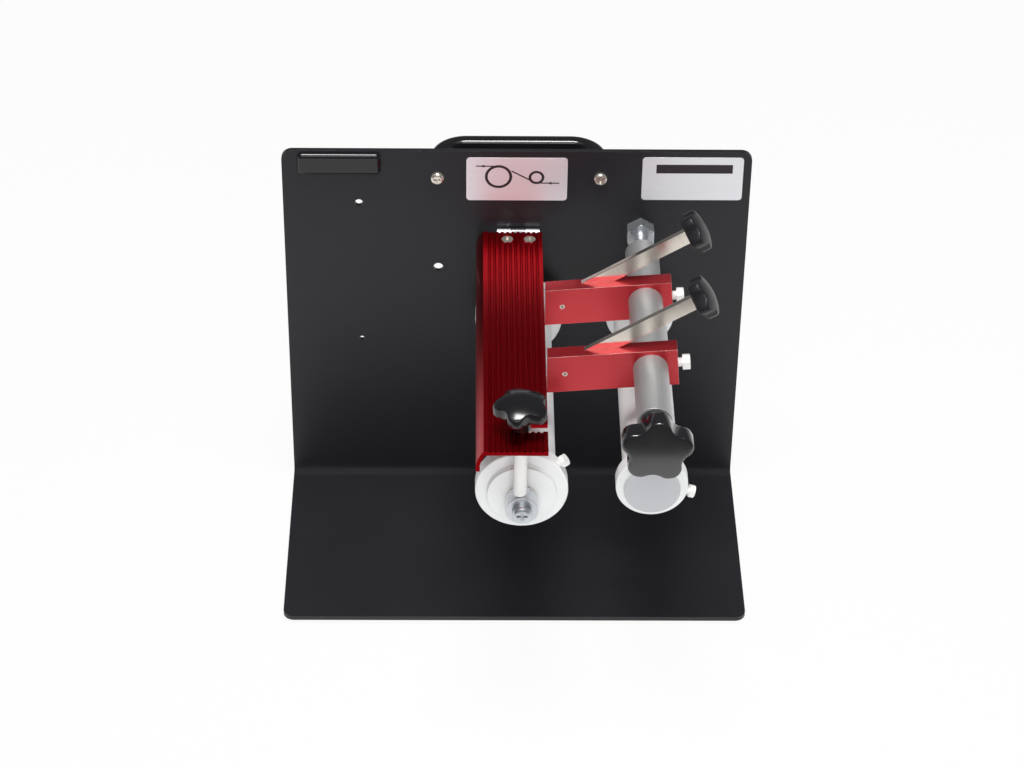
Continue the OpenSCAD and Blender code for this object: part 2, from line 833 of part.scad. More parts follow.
// Knob with a plug that is fixed in the tube's front end
module shaft_knob() {
  color(grip_black) {
    facing(shaft_x, shaft_front - knob_plug, shaft_z)
      cylinder(r = shaft_counterbore_d / 2 - seat_fit, h = knob_plug + eps);
    facing(shaft_x, shaft_front, shaft_z) rotate([0, 0, shaft_knob_turn])
      star_knob(shaft_knob_d, shaft_knob_head, shaft_boss_d, shaft_knob_boss)
        rounded_disc(shaft_knob_d / 2, shaft_knob_head, knob_edge);
  }
}

// Frame of an arm: X along the arm to the right, Y up, Z forwards
module arm_frame(depth) {
  facing(shaft_x, depth, shaft_z) rotate([0, 0, arm_tilt]) children();
}

// Frame of a blade bar: X along the bar, with the origin over the set screw
module bar_frame(depth) {
  arm_frame(depth) translate([-set_screw_u, set_screw_w + bar_rise, -bar_back])
    rotate([0, 0, bar_angle]) children();
}

// Frame of a set screw: Z forwards from the middle of the blade bar
module screw_frame(depth) {
  arm_frame(depth) translate([-set_screw_u, set_screw_w, -bar_back]) children();
}

// Flat bar bored for the tube, with a slanted slot and a left end that is upright at rest
module arm(depth) {
  slot_h = bar_w + 2 * slot_fit;
  slot_t = bar_t + 2 * slot_fit;
  color(anodised_red) difference() {
    arm_frame(depth) translate([0, 0, -arm_t / 2]) linear_extrude(height = arm_t)
      polygon([[-arm_left, arm_h / 2], [-arm_left - arm_slant, -arm_h / 2],
               [arm_right, -arm_h / 2], [arm_right, arm_h / 2]]);
    arm_frame(depth) translate([0, 0, -arm_t]) cylinder(r = shaft_r + run_fit, h = 2 * arm_t);
    arm_frame(depth) rotate([0, 90, 0]) cylinder(d = arm_bolt_d + 2 * run_fit, h = 2 * arm_right);
    bar_frame(depth) translate([-bar_len, -slot_h / 2, -slot_t / 2])
      cube([2 * bar_len, slot_h, slot_t]);
    screw_frame(depth) cylinder(d = set_screw_d + 2 * seat_fit, h = arm_t);
  }
}

// Bolt in the right end of an arm that clamps it on the tube
module arm_bolt(depth) {
  tip = shaft_r + face_gap;
  color(nylon_white) arm_frame(depth) rotate([0, 90, 0]) translate([0, 0, tip])
    nylon_bolt(arm_bolt_d, arm_right - tip + arm_bolt_show, arm_bolt_af, arm_bolt_head);
}

// Socket set screw in the arm's front wall, bearing on the blade bar
module set_screw(depth) {
  tip = bar_t / 2 + slot_fit;
  len = arm_t / 2 + bar_back - tip - face_gap;
  color(bright_steel) screw_frame(depth) translate([0, 0, tip]) difference() {
    cylinder(d = set_screw_d, h = len);
    translate([0, 0, len - set_screw_socket]) linear_extrude(height = set_screw_socket + eps)
      hexagon(set_screw_af);
  }
}

// Bar with a slit at its lower end for the blade
module blade_bar(depth) {
  slit = blade_t + 2 * seat_fit;
  color(bright_steel) bar_frame(depth) difference() {
    translate([bar_start, -bar_w / 2, -bar_t / 2]) cube([bar_len, bar_w, bar_t]);
    translate([bar_start - eps, -bar_w, -slit / 2]) cube([blade_held + eps, 2 * bar_w, slit]);
  }
}

// Blade with a slanted point along its lower edge
module blade(depth) {
  color(zinc) bar_frame(depth) translate([0, 0, -blade_t / 2]) linear_extrude(height = blade_t)
    polygon([[blade_tip, -bar_w / 2], [bar_start + blade_held, -bar_w / 2],
             [bar_start + blade_held, bar_w / 2], [blade_tip + blade_point, bar_w / 2]]);
}

module blade_knob(depth) {
  color(grip_black) bar_frame(depth) translate([bar_start + bar_len, 0, 0]) rotate([0, 90, 0])
    rotate([0, 0, blade_knob_turn])
      star_knob(blade_knob_d, blade_knob_head, blade_boss_d, blade_knob_boss)
        domed_disc(blade_knob_d / 2, blade_knob_head, knob_edge, blade_knob_crown);
}

module rear_arm() { arm(rear_arm_depth); }
module rear_arm_bolt() { arm_bolt(rear_arm_depth); }
module rear_set_screw() { set_screw(rear_arm_depth); }
module rear_blade_bar() { blade_bar(rear_arm_depth); }
module rear_blade() { blade(rear_arm_depth); }
module rear_blade_knob() { blade_knob(rear_arm_depth); }
module front_arm() { arm(front_arm_depth); }
module front_arm_bolt() { arm_bolt(front_arm_depth); }
module front_set_screw() { set_screw(front_arm_depth); }
module front_blade_bar() { blade_bar(front_arm_depth); }
module front_blade() { blade(front_arm_depth); }
module front_blade_knob() { blade_knob(front_arm_depth); }

// Section of the guard: grooved top and curved left side
module guard_section() {
  lip_x = guard_left + sqrt(pow(lip_r, 2) - pow(lip_rise, 2));
  difference() {
    union() {
      translate([guard_left, -guard_t]) square([guard_right - guard_left, guard_t]);
      intersection() {
        difference() {
          translate([lip_x, -lip_rise]) circle(lip_r);
          translate([lip_x, -lip_rise]) circle(lip_r - lip_t);
        }
        translate([lip_x - lip_r, -lip_drop]) square([lip_r - 2 * lip_t, lip_drop]);
      }
    }
    for (i = [0 : grooves - 1])
      translate([groove_x + (i - (grooves - 1) / 2) * groove_pitch, 0]) circle(groove_r);
  }
}

module guard() {
  color(anodised_red) difference() {
    facing(0, guard_rear, guard_top) linear_extrude(height = guard_front - guard_rear) guard_section();
    at(post_x, post_depth, guard_under - 1) cylinder(d = slot_w, h = guard_t + 2);
    at(post_x, post_depth, guard_under - 1) translate([0, -slot_w / 2, 0])
      cube([guard_right - guard_left, slot_w, guard_t + 2]);
    for (x = leaf_screw_xs) at(x, leaf_screw_depth, guard_under - 1) {
      cylinder(d = leaf_screw_d + 2 * hole_fit, h = guard_t + 2);
      translate([0, 0, guard_t + 1 - groove_r]) countersink(hole_fit, groove_r + eps);
    }
  }
}

// Cone of a countersunk head, its flat end at the height of the grooves' bottom
module countersink(gap, above) {
  cone = min((leaf_head_d - leaf_screw_d) / 2, guard_t - groove_r - eps);
  translate([0, 0, -cone]) cylinder(d1 = leaf_screw_d + 2 * gap, d2 = leaf_head_d + 2 * gap, h = cone);
  cylinder(d = leaf_head_d + 2 * gap, h = above);
}

module guard_screws() {
  color(bright_steel) for (x = leaf_screw_xs) at(x, leaf_screw_depth, guard_top - groove_r) difference() {
    union() {
      countersink(0, groove_r / 2);
      translate([0, 0, groove_r - guard_t - leaf_t]) cylinder(d = leaf_screw_d, h = guard_t);
    }
    translate([0, 0, groove_r / 2]) cross_recess(leaf_head_d * recess_share, 1);
  }
}

// Nylon post between the guard and the spacer on the axle's end
module guard_post() {
  foot = drum_z + spacer_d / 2 + face_gap;
  color(nylon_white) at(post_x, post_depth, foot) difference() {
    cylinder(d = post_d, h = guard_under - foot);
    translate([0, 0, guard_under - foot - guard_stud_grip - 1])
      cylinder(d = guard_stud_d + 2 * run_fit, h = guard_stud_grip + 1 + eps);
  }
}

module guard_knob_stud() {
  color(zinc) at(post_x, post_depth, guard_under - guard_stud_grip)
    cylinder(d = guard_stud_d, h = guard_t + face_gap + 2 * guard_stud_grip);
}

module guard_knob() {
  color(grip_black) at(post_x, post_depth, guard_top + face_gap) difference() {
    rotate([0, 0, guard_knob_turn])
      star_knob(guard_knob_d, guard_knob_head, guard_boss_d, guard_knob_boss)
        domed_disc(guard_knob_d / 2, guard_knob_head, knob_edge, guard_knob_crown);
    translate([0, 0, -eps]) cylinder(d = guard_stud_d + 2 * seat_fit, h = guard_stud_grip + 2 * eps);
  }
}

// One knuckle of the hinge: 0 and 2 belong to the fixed leaf, 1 to the moving leaf
module knuckle(i) {
  at(hinge_x - hinge_len / 2 + i * hinge_len / 3 + face_gap / 2, hinge_depth, hinge_z) children();
}

// Bore of the hinge pin through the whole barrel
module pin_bore() {
  at(hinge_x - hinge_len, hinge_depth, hinge_z) rotate([0, 90, 0])
    cylinder(d = pin_d + 2 * run_fit, h = 2 * hinge_len);
}

module hinge_fixed_leaf() {
  leaf_top = hinge_z - barrel_r - face_gap;
  color(zinc) difference() {
    union() {
      at(hinge_x - hinge_len / 2, leaf_t, hinge_z - leaf_w)
        cube([hinge_len, leaf_t, leaf_top - hinge_z + leaf_w]);
      for (i = [0, 2]) {
        knuckle(i) rotate([0, 90, 0]) cylinder(r = barrel_r, h = knuckle_len);
        knuckle(i) translate([0, hinge_depth - leaf_t, leaf_top - hinge_z - eps])
          cube([knuckle_len, leaf_t, hinge_z - leaf_top]);
      }
    }
    pin_bore();
    for (x = leaf_screw_xs) facing(x, -1, leaf_screw_z)
      cylinder(d = leaf_screw_d + 2 * hole_fit, h = leaf_t + 2);
  }
}

module hinge_moving_leaf() {
  leaf_rear = hinge_depth + barrel_r + face_gap;
  color(zinc) difference() {
    union() {
      at(hinge_x - hinge_len / 2, hinge_depth + leaf_w, guard_under - leaf_t)
        cube([hinge_len, hinge_depth + leaf_w - leaf_rear, leaf_t]);
      knuckle(1) rotate([0, 90, 0]) cylinder(r = barrel_r, h = knuckle_len);
      knuckle(1) translate([0, hinge_depth - leaf_rear - eps, guard_under - leaf_t - hinge_z])
        cube([knuckle_len, leaf_rear - hinge_depth + eps, leaf_t]);
    }
    pin_bore();
    for (x = leaf_screw_xs) at(x, leaf_screw_depth, guard_under - leaf_t - 1)
      cylinder(d = leaf_screw_d + 2 * seat_fit, h = leaf_t + 2);
  }
}

module hinge_pin() {
  color(zinc) at(hinge_x - hinge_len / 2, hinge_depth, hinge_z) rotate([0, 90, 0])
    cylinder(d = pin_d, h = hinge_len);
}

module hinge_screws() {
  color(bright_steel) for (x = leaf_screw_xs) facing(x, leaf_t, leaf_screw_z)
    pan_screw(leaf_head_d, leaf_head_h, leaf_screw_d, leaf_t + plate_t);
}

frame_plate();
rubber_feet();
carry_handle();
handle_screws();
stud_nuts();
stud_washers();
drum_axle();
drum_tube();
drum_rear_flange();
drum_front_guide();
drum_guide_bolt();
drum_plugs();
drum_bushes();
drum_washer();
axle_spacer();
axle_lock_washer();
axle_screw();
idler_axle();
idler_tube();
idler_rear_flange();
idler_front_guide();
idler_guide_bolt();
idler_plugs();
idler_bushes();
idler_end_cap();
idler_washer();
idler_screw();
shaft_stud();
shaft_tube();
shaft_bushes();
shaft_washer();
shaft_screw();
shaft_knob();
rear_arm();
rear_arm_bolt();
rear_set_screw();
rear_blade_bar();
rear_blade();
rear_blade_knob();
front_arm();
front_arm_bolt();
front_set_screw();
front_blade_bar();
front_blade();
front_blade_knob();
guard();
guard_screws();
guard_post();
guard_knob_stud();
guard_knob();
hinge_fixed_leaf();
hinge_moving_leaf();
hinge_pin();
hinge_screws();
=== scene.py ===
"""Finishes, trim and studio for the bench-top label slitter."""

import json
import math

import bmesh
import bpy
from bpy.props import FloatProperty, FloatVectorProperty, IntProperty, PointerProperty
from bpy.types import Operator, Panel, PropertyGroup
from mathutils import Euler, Matrix, Vector


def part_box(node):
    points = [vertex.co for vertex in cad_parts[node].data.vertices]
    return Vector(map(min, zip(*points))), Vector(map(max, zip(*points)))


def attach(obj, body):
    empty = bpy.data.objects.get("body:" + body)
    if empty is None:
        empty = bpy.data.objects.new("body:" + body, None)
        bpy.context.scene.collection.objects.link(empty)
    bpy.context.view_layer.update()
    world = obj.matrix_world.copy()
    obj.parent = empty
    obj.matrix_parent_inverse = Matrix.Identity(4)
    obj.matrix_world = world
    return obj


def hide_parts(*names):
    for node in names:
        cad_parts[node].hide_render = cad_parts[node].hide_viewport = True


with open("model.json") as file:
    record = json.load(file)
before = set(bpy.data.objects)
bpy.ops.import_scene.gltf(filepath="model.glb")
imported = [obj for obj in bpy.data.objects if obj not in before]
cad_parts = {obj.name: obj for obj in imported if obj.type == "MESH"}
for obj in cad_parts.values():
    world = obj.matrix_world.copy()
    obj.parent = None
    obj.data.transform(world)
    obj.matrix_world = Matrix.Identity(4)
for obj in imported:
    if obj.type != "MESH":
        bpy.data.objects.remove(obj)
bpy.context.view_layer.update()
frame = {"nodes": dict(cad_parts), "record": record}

bl_info = {
    "name": "Label slitter finishes",
    "version": (1, 1, 0),
    "blender": (4, 5, 0),
    "location": "3D View > Sidebar > Slitter",
    "description": "Dresses the solids of a label slitter with finishes, trim and a small studio",
    "category": "Object",
}

NODE_SLOT = {row["node"]: row["material_slot"] for row in frame["record"]["subparts"]}
NODE_BODY = {
    node: body
    for body, nodes in frame["record"]["behaviour"]["bodies"].items()
    for node in nodes
}
SHEET = 0.003
PLATE_LOW, PLATE_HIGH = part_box("frame_plate")
UPRIGHT_FACE = PLATE_HIGH.y - SHEET
BASE_TOP = PLATE_LOW.z + SHEET
MATT_BEND = 0.006

# Across the upright, and down from its top edge
PATH_LABEL_AT = (0.0001, 0.01955)
NOTICE_LABEL_AT = (0.10495, 0.01885)
NAMEPLATE_AT = (-0.1058, 0.00865)

# Slope of the blade bars, and from a bar's middle to the foot of its knob
BAR_SLOPE = math.radians(32.2)
BAR_REACH = 0.04355

SHAFT_KNOB = {"d": 0.041, "boss_d": 0.0176, "boss": 0.0155, "turn": math.radians(13.7), "crown": 0.0003}
GUARD_KNOB = {"d": 0.0315, "boss_d": 0.011, "boss": 0.0095, "turn": math.radians(38.4), "crown": 0.0045}
BLADE_KNOB = {"d": 0.026, "boss_d": 0.012, "boss": 0.001, "turn": math.radians(36), "crown": 0.003}
BLADE_KNOB_HEAD = 0.010


# Sizes and colours


def colour(name, description, default):
    return FloatVectorProperty(
        name=name, description=description, default=default, size=3, min=0.0, max=1.0, subtype="COLOR"
    )


def length(name, description, default):
    return FloatProperty(name=name, description=description, default=default, min=0.0, unit="LENGTH")


def power(name, description, default):
    return FloatProperty(name=name, description=description, default=default, min=0.0, unit="POWER")


class SlitterColours(PropertyGroup):
    """Base colours of the slitter's finishes"""

    stand: colour("Stand", "Powder coat of the bent stand", (0.0119, 0.0119, 0.0152))
    grip: colour("Grips", "Moulded knobs, handle and nameplate", (0.009, 0.009, 0.0105))
    rubber: colour("Feet", "Rubber of the feet", (0.02, 0.02, 0.02))
    guard_red: colour("Guard red", "Anodised red of the ribbed guard", (0.47, 0.0035, 0.0095))
    arm_red: colour("Arm red", "Anodised red of the blade arms", (0.7, 0.018, 0.03))
    # Paler red on the arms' eased edges: rubbed wear, and a painted highlight along the edges
    wear_and_highlight_red: colour("Worn red", "Rubbed edges of the arms", (1.0, 0.72, 0.72))
    roller: colour("Rollers", "Tubes, collars and plugs", (0.83, 0.84, 0.84))
    # Grey of the small roller's recessed end cap: darker than the roller white to paint the shade in the
    # recess
    painted_shade_cap: colour("Roller cap", "Cap in the small roller's end", (0.52, 0.53, 0.55))
    nylon: colour("Nylon", "Bolts and post", (0.86, 0.86, 0.84))
    zinc: colour("Zinc", "Plated nuts, washers and studs", (0.68, 0.71, 0.74))
    steel: colour("Steel", "Blade bars and screws", (0.83, 0.765, 0.685))
    aluminium: colour("Aluminium", "Shaft tube", (0.57, 0.57, 0.565))
    bronze: colour("Bronze", "Bushes", (0.5, 0.33, 0.15))
    dark_zinc: colour("Dark zinc", "Moving leaf of the hinge", (0.24, 0.24, 0.25))
    foil: colour("Label foil", "Silver face of the plain label", (0.84, 0.84, 0.87))
    # Pinkish silver of the path label: a painted reflection of the red guard, not a warmer foil
    reflection_tinted_path_foil: colour("Path label foil", "Warmer silver face of the path label", (0.88, 0.835, 0.875))
    ink: colour("Label ink", "Dark print on the labels", (0.022, 0.014, 0.019))


class SlitterTrim(PropertyGroup):
    """Sizes of the trim that the solids leave out"""

    label_size: FloatVectorProperty(
        name="Label", description="Width and height of both labels",
        default=(0.0603, 0.0303), size=2, unit="LENGTH",
    )
    label_corner: length("Label corner", "Corner radius of both labels", 0.0022)
    label_thickness: length("Label thickness", "Thickness of both labels", 0.00025)
    badge_size: FloatVectorProperty(
        name="Nameplate", description="Width and height of the bare nameplate",
        default=(0.0498, 0.0145), size=2, unit="LENGTH",
    )
    badge_thickness: length("Nameplate thickness", "Height of the nameplate's dome", 0.0028)
    plate_edge: length("Stand edge", "Rounding of the painted edges", 0.0005)
    arm_edge: length("Arm edge", "Rounding of the arms", 0.0009)
    tube_edge: length("Tube edge", "Rounding of the shaft tube's ends", 0.0004)
    small_edge: length("Small edge", "Chamfer of the small metal pieces", 0.0002)
    thread_pitch: length("Thread pitch", "Pitch of the threaded rods", 0.0015)
    thread_depth: length("Thread depth", "Depth of the thread", 0.0009)
    knob_soft: length("Knob edge", "Drop of the soft edge round a knob's face", 0.0009)
    knob_points: IntProperty(
        name="Knob points", description="Points round a star knob", default=150, min=50
    )


class SlitterStudio(PropertyGroup):
    """Camera and lamps"""

    camera_place: FloatVectorProperty(
        name="Camera", description="Place of the camera",
        default=(-0.02698, -1.388476, 1.20751), size=3, subtype="TRANSLATION",
    )
    camera_turn: FloatVectorProperty(
        name="Camera turn", description="Turn of the camera",
        default=[math.radians(a) for a in (52.5735, -0.6365, -0.5155)], size=3, subtype="EULER",
    )
    lens: FloatProperty(name="Lens", description="Focal length in millimetres", default=104.21, min=1.0)
    strip_power: power("Strip lamp", "Power of the strip overhead, which gloss mirrors", 12.5)
    top_power: power("Top fill", "Power of the soft light from above", 4.0)
    front_power: power("Front fill", "Power of the soft light from the front", 17.0)
    panel_power: power("Front panel", "Power of the panel over the camera, which metal mirrors", 9.0)
    side_power: power("Side fill", "Power of the soft light from the right", 4.5)
    world_level: FloatProperty(
        name="World", description="Level of the even light", default=0.1, min=0.0
    )
    paper_front: FloatProperty(
        name="Paper's front", description="Front edge of the lit paper that metal mirrors",
        default=-0.368, unit="LENGTH",
    )


# Shader wiring


class Wire:
    """A socket of a node tree; arithmetic on it adds Math nodes"""

    def __init__(self, tree, socket):
        self.tree = tree
        self.socket = socket

    def math(self, operation, *values):
        node = self.tree.nodes.new("ShaderNodeMath")
        node.operation = operation
        for slot, value in zip(node.inputs, values):
            if isinstance(value, Wire):
                self.tree.links.new(value.socket, slot)
            else:
                slot.default_value = value
        return Wire(self.tree, node.outputs[0])

    def __add__(self, other):
        return self.math("ADD", self, other)

    def __radd__(self, other):
        return self.math("ADD", other, self)

    def __sub__(self, other):
        return self.math("SUBTRACT", self, other)

    def __rsub__(self, other):
        return self.math("SUBTRACT", other, self)

    def __mul__(self, other):
        return self.math("MULTIPLY", self, other)

    def __rmul__(self, other):
        return self.math("MULTIPLY", other, self)

    def __pow__(self, other):
        return self.math("POWER", self, other)

    def __abs__(self):
        return self.math("ABSOLUTE", self)

    def __lt__(self, other):
        return self.math("LESS_THAN", self, other)

    def __gt__(self, other):
        return self.math("GREATER_THAN", self, other)

    def __and__(self, other):
        return self.math("MINIMUM", self, other)

    def __or__(self, other):
        return self.math("MAXIMUM", self, other)


class Tree:
    """A node tree of a material or of the world"""

    def __init__(self, tree):
        self.tree = tree

    def node(self, kind, settings=None, inputs=None, output=0):
        made = self.tree.nodes.new(kind)
        for key, value in (settings or {}).items():
            if key == "stops":
                for element, stop in zip(made.color_ramp.elements, value):
                    element.position, element.color = stop[0], (stop[1], stop[1], stop[1], 1.0)
            else:
                setattr(made, key, value)
        for key, value in (inputs or {}).items():
            self.feed(made.inputs[key], value)
        return Wire(self.tree, made.outputs[output])

    def feed(self, socket, value):
        if isinstance(value, Wire):
            self.tree.links.new(value.socket, socket)
        else:
            socket.default_value = value

    def split(self, vector):
        parts = self.tree.nodes.new("ShaderNodeSeparateXYZ")
        self.feed(parts.inputs[0], vector)
        return [Wire(self.tree, out) for out in parts.outputs]

    def light_path(self, ray):
        return self.node("ShaderNodeLightPath", output=ray)

    def tint(self, factor, low, high):
        return self.layer(factor, (*low, 1.0), high)

    def layer(self, factor, under, over):
        return self.node(
            "ShaderNodeMix", {"data_type": "RGBA"}, {0: factor, 6: under, 7: (*over, 1.0)}, output=2
        )


class Finish(Tree):
    """A material with one Principled surface"""

    def __init__(self, name):
        self.material = bpy.data.materials.new(name)
        self.material.use_nodes = True
        super().__init__(self.material.node_tree)
        self.surface = self.tree.nodes["Principled BSDF"]
        self.point = self.node("ShaderNodeTexCoord", output="Object")

    def set(self, **values):
        for name, value in values.items():
            self.feed(self.surface.inputs[name.replace("_", " ")], value)

    def stretched(self, scale, turn=(0.0, 0.0, 0.0)):
        return self.node(
            "ShaderNodeMapping", {"vector_type": "TEXTURE"},
            {"Vector": self.point, "Scale": [1.0 / s for s in scale], "Rotation": turn},
        )

    def noise(self, scale, detail=2.0, point=None, rough=0.5):
        return self.node(
            "ShaderNodeTexNoise", {"noise_dimensions": "3D"},
            {"Vector": point or self.point, "Scale": scale, "Detail": detail, "Roughness": rough},
        )

    def ramp(self, value, low, high):
        return self.node("ShaderNodeValToRGB", {"stops": ((low, 0.0), (high, 1.0))}, {"Fac": value})

    def relief(self, height, strength, distance):
        return self.node(
            "ShaderNodeBump", None, {"Height": height, "Strength": strength, "Distance": distance}
        )

    def axes(self):
        return self.split(self.point)


def shade(rgb, factor):
    return tuple(min(1.0, c * factor) for c in rgb)


def powder_coat(name, rgb):
    """Fine-textured semi-gloss powder coat with a few paler rub marks and a matt bend"""
    f = Finish(name)
    _, y, z = f.axes()
    from_bend = (UPRIGHT_FACE - y) | (z - BASE_TOP)
    crease = ((MATT_BEND - from_bend) * 250.0 | 0.0) & 1.0
    orange_peel = f.noise(900.0, 3.0)
    cloud = f.noise(14.0, 3.0)
    rub = f.ramp(f.noise(1.0, 4.0, f.stretched((30.0, 90.0, 60.0)), 0.6), 0.62, 0.8)
    coat = f.tint(cloud, shade(rgb, 0.85), shade(rgb, 1.2))
    f.set(
        Base_Color=f.layer(0.25 * rub, coat, shade(rgb, 2.2)),
        Roughness=0.36 + 0.1 * cloud + 0.06 * orange_peel - 0.05 * rub + 0.5 * crease,
        Specular_IOR_Level=0.5,
        Normal=f.relief(orange_peel, 0.22, 0.0002),
    )
    return f.material


def moulded(name, rgb, roughness, shine, gloss):
    """Glossy moulded plastic with faint handling smudges"""
    f = Finish(name)
    smudge = f.noise(70.0, 4.0)
    grain = f.noise(600.0, 2.0)
    f.set(
        Base_Color=f.tint(smudge, shade(rgb, 0.9), shade(rgb, 1.15)),
        Roughness=roughness - 0.04 + 0.09 * smudge,
        Specular_IOR_Level=shine,
        Coat_Weight=gloss,
        Coat_Roughness=0.06,
        Normal=f.relief(grain, 0.04, 0.0001),
    )
    return f.material


def rubber(name, rgb):
    """Matt rubber with a fine grain"""
    f = Finish(name)
    grain = f.noise(1500.0, 2.0)
    f.set(
        Base_Color=f.tint(grain, shade(rgb, 0.8), shade(rgb, 1.3)),
        Roughness=0.75 + 0.15 * grain,
        Normal=f.relief(grain, 0.3, 0.0002),
    )
    return f.material


def drawn_metal(
    name, rgb, roughness, along, turn=0.0, depth=0.35, spread=0.16, tone=0.13, coat=0.0, metal=1.0
):
    """Metal with fine drawing lines along one axis, bare or under a clear anodised skin"""
    f = Finish(name)
    scale = [1400.0, 1400.0, 1400.0]
    scale[along] = 9.0
    lines = f.noise(1.0, 3.0, f.stretched(scale, (0.0, turn, 0.0)), 0.6)
    cloud = f.noise(45.0, 3.0)
    rub = f.ramp(f.noise(120.0, 5.0, rough=0.65), 0.6, 0.85)
    f.set(
        Base_Color=f.tint(0.7 * lines + 0.3 * cloud, shade(rgb, 1.0 - tone), shade(rgb, 1.0 + tone)),
        Metallic=metal,
        Roughness=roughness - spread / 2 + spread * lines + 0.05 * cloud + 0.08 * rub,
        Coat_Weight=coat,
        Coat_Roughness=0.22,
        Normal=f.relief(lines, depth * 0.2, 0.0001),
    )
    return f.material


def plated(name, rgb, roughness, metal=0.85):
    """Bright plating with a cloudy passivated film"""
    f = Finish(name)
    cloud = f.noise(160.0, 4.0)
    f.set(
        Base_Color=f.tint(cloud, shade(rgb, 0.85), shade(rgb, 1.15)),
        Metallic=metal,
        Roughness=roughness - 0.06 + 0.14 * cloud,
        Normal=f.relief(f.noise(1200.0, 2.0), 0.05, 0.0001),
    )
    return f.material


def turned_plastic(name, rgb, roughness):
    """Satin white plastic with faint turning marks and dust"""
    f = Finish(name)
    cloud = f.noise(35.0, 4.0)
    grain = f.noise(900.0, 2.0)
    dust = f.ramp(f.noise(260.0, 5.0, rough=0.7), 0.62, 0.8)
    clean = f.tint(cloud, shade(rgb, 0.95), shade(rgb, 1.04))
    f.set(
        Base_Color=f.layer(0.12 * dust, clean, shade(rgb, 0.7)),
        Roughness=roughness - 0.06 + 0.14 * cloud,
        Specular_IOR_Level=0.45,
        Normal=f.relief(grain, 0.05, 0.0001),
    )
    return f.material


def label_foil(f, rgb, ink, print_mask):
    """Silver foil with faint lines across its face, and print that takes the sheen off"""
    lines = f.noise(1.0, 2.0, f.stretched((12.0, 900.0, 1600.0)), 0.5)
    f.set(
        Base_Color=f.layer(print_mask, f.tint(lines, shade(rgb, 0.95), shade(rgb, 1.05)), ink),
        Metallic=0.45 - 0.45 * print_mask,
        Roughness=0.28 + 0.1 * lines + 0.15 * print_mask,
    )
    return f.material


def reflection_tinted_path_foil(name, rgb, ink, centre):
    """Silver label with a plain diagram of a web that runs over two rollers"""
    f = Finish(name)
    x, _, z = f.axes()
    u = (x - centre.x) * 1000.0
    w = (z - centre.z) * 1000.0

    def circle(at, r, pen):
        away = ((u - at[0]) ** 2.0 + (w - at[1]) ** 2.0) ** 0.5
        return abs(away - r) < pen / 2

    def stroke(a, b, pen):
        size = math.dist(a, b)
        du, dw = (b[0] - a[0]) / size, (b[1] - a[1]) / size
        across = abs((w - a[1]) * du - (u - a[0]) * dw) < pen / 2
        along = (u - a[0]) * du + (w - a[1]) * dw
        return across & (along > 0.0) & (along < size)

    def arrow(tip, size):
        return (abs(w - tip[1]) < (u - tip[0]) * 0.3) & (u < tip[0] + size)

    print_mask = (
        circle((-10.95, 1.8), 7.3, 1.7)
        | circle((11.7, 1.3), 3.9, 1.6)
        | stroke((-24.5, 9.25), (-10.9, 9.1), 0.8)
        | arrow((-22.6, 9.2), 3.2)
        | stroke((-3.2, 5.8), (8.45, -0.9), 0.9)
        | stroke((11.7, -2.6), (25.4, -2.75), 0.8)
        | arrow((17.6, -2.7), 3.2)
    )
    return label_foil(f, rgb, ink, print_mask)


def banded_foil(name, rgb, ink, centre):
    """Silver label with one plain dark band"""
    f = Finish(name)
    x, _, z = f.axes()
    band = (abs(x - centre.x - 0.001) < 0.0228) & (abs(z - centre.z - 0.007) < 0.0031)
    return label_foil(f, rgb, ink, band)


# Meshes


def add_piece(bm, name, body, material, slot, *nodes, edge_angle=35.0, weighted=False):
    """Turns a bmesh into a piece that rides on a body and stands for CAD nodes"""
    mesh = bpy.data.meshes.new(name)
    bm.to_mesh(mesh)
    bm.free()
    mesh.materials.append(material)
    mesh.shade_smooth()
    mesh.set_sharp_from_angle(angle=math.radians(edge_angle))
    piece = bpy.data.objects.new(name, mesh)
    bpy.context.scene.collection.objects.link(piece)
    if weighted:
        smooth = piece.modifiers.new("Face-weighted normals", "WEIGHTED_NORMAL")
        smooth.keep_sharp = True
    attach(piece, body)
    if nodes:
        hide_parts(*nodes)
    return piece


def whole_faces(node):
    """A bmesh of a CAD node with its triangles joined into whole faces"""
    bm = bmesh.new()
    bm.from_mesh(frame["nodes"][node].data)
    bmesh.ops.remove_doubles(bm, verts=bm.verts, dist=2e-6)
    bmesh.ops.dissolve_limit(
        bm, angle_limit=math.radians(0.4), use_dissolve_boundaries=False, verts=bm.verts, edges=bm.edges
    )
    return bm


def ease_edges(bm, width, segments=2, above=40.0):
    """Rounds every edge that is sharper than an angle, and gives the new faces back"""
    sharp = [e for e in bm.edges if e.is_manifold and e.calc_face_angle(0.0) > math.radians(above)]
    made = bmesh.ops.bevel(
        bm, geom=sharp, offset=width, offset_type="OFFSET", segments=segments, profile=0.5,
        affect="EDGES", material=-1, clamp_overlap=True,
    )
    return made["faces"]


def eased_piece(node, material, width, segments=2, wear_and_highlight_finish=None):
    """The CAD node again with eased edges, which may take a paler finish: rubbed wear and a painted edge
    highlight
    """
    bm = whole_faces(node)
    for face in ease_edges(bm, width, segments):
        face.material_index = 1 if wear_and_highlight_finish else 0
    piece = add_piece(
        bm, node + "_eased", NODE_BODY[node], material, NODE_SLOT[node], node,
        edge_angle=50.0, weighted=True,
    )
    if wear_and_highlight_finish:
        piece.data.materials.append(wear_and_highlight_finish)
    return piece


def round_piece(node, material, edge_angle=32.0):
    """The CAD node again with its curved faces smooth"""
    return add_piece(
        whole_faces(node), node + "_smooth", NODE_BODY[node], material, NODE_SLOT[node], node,
        edge_angle=edge_angle,
    )


def dress(material, *nodes):
    """Gives CAD nodes that stay as they are their finish"""
    for node in nodes:
        mesh = frame["nodes"][node].data
        mesh.materials.clear()
        mesh.materials.append(material)


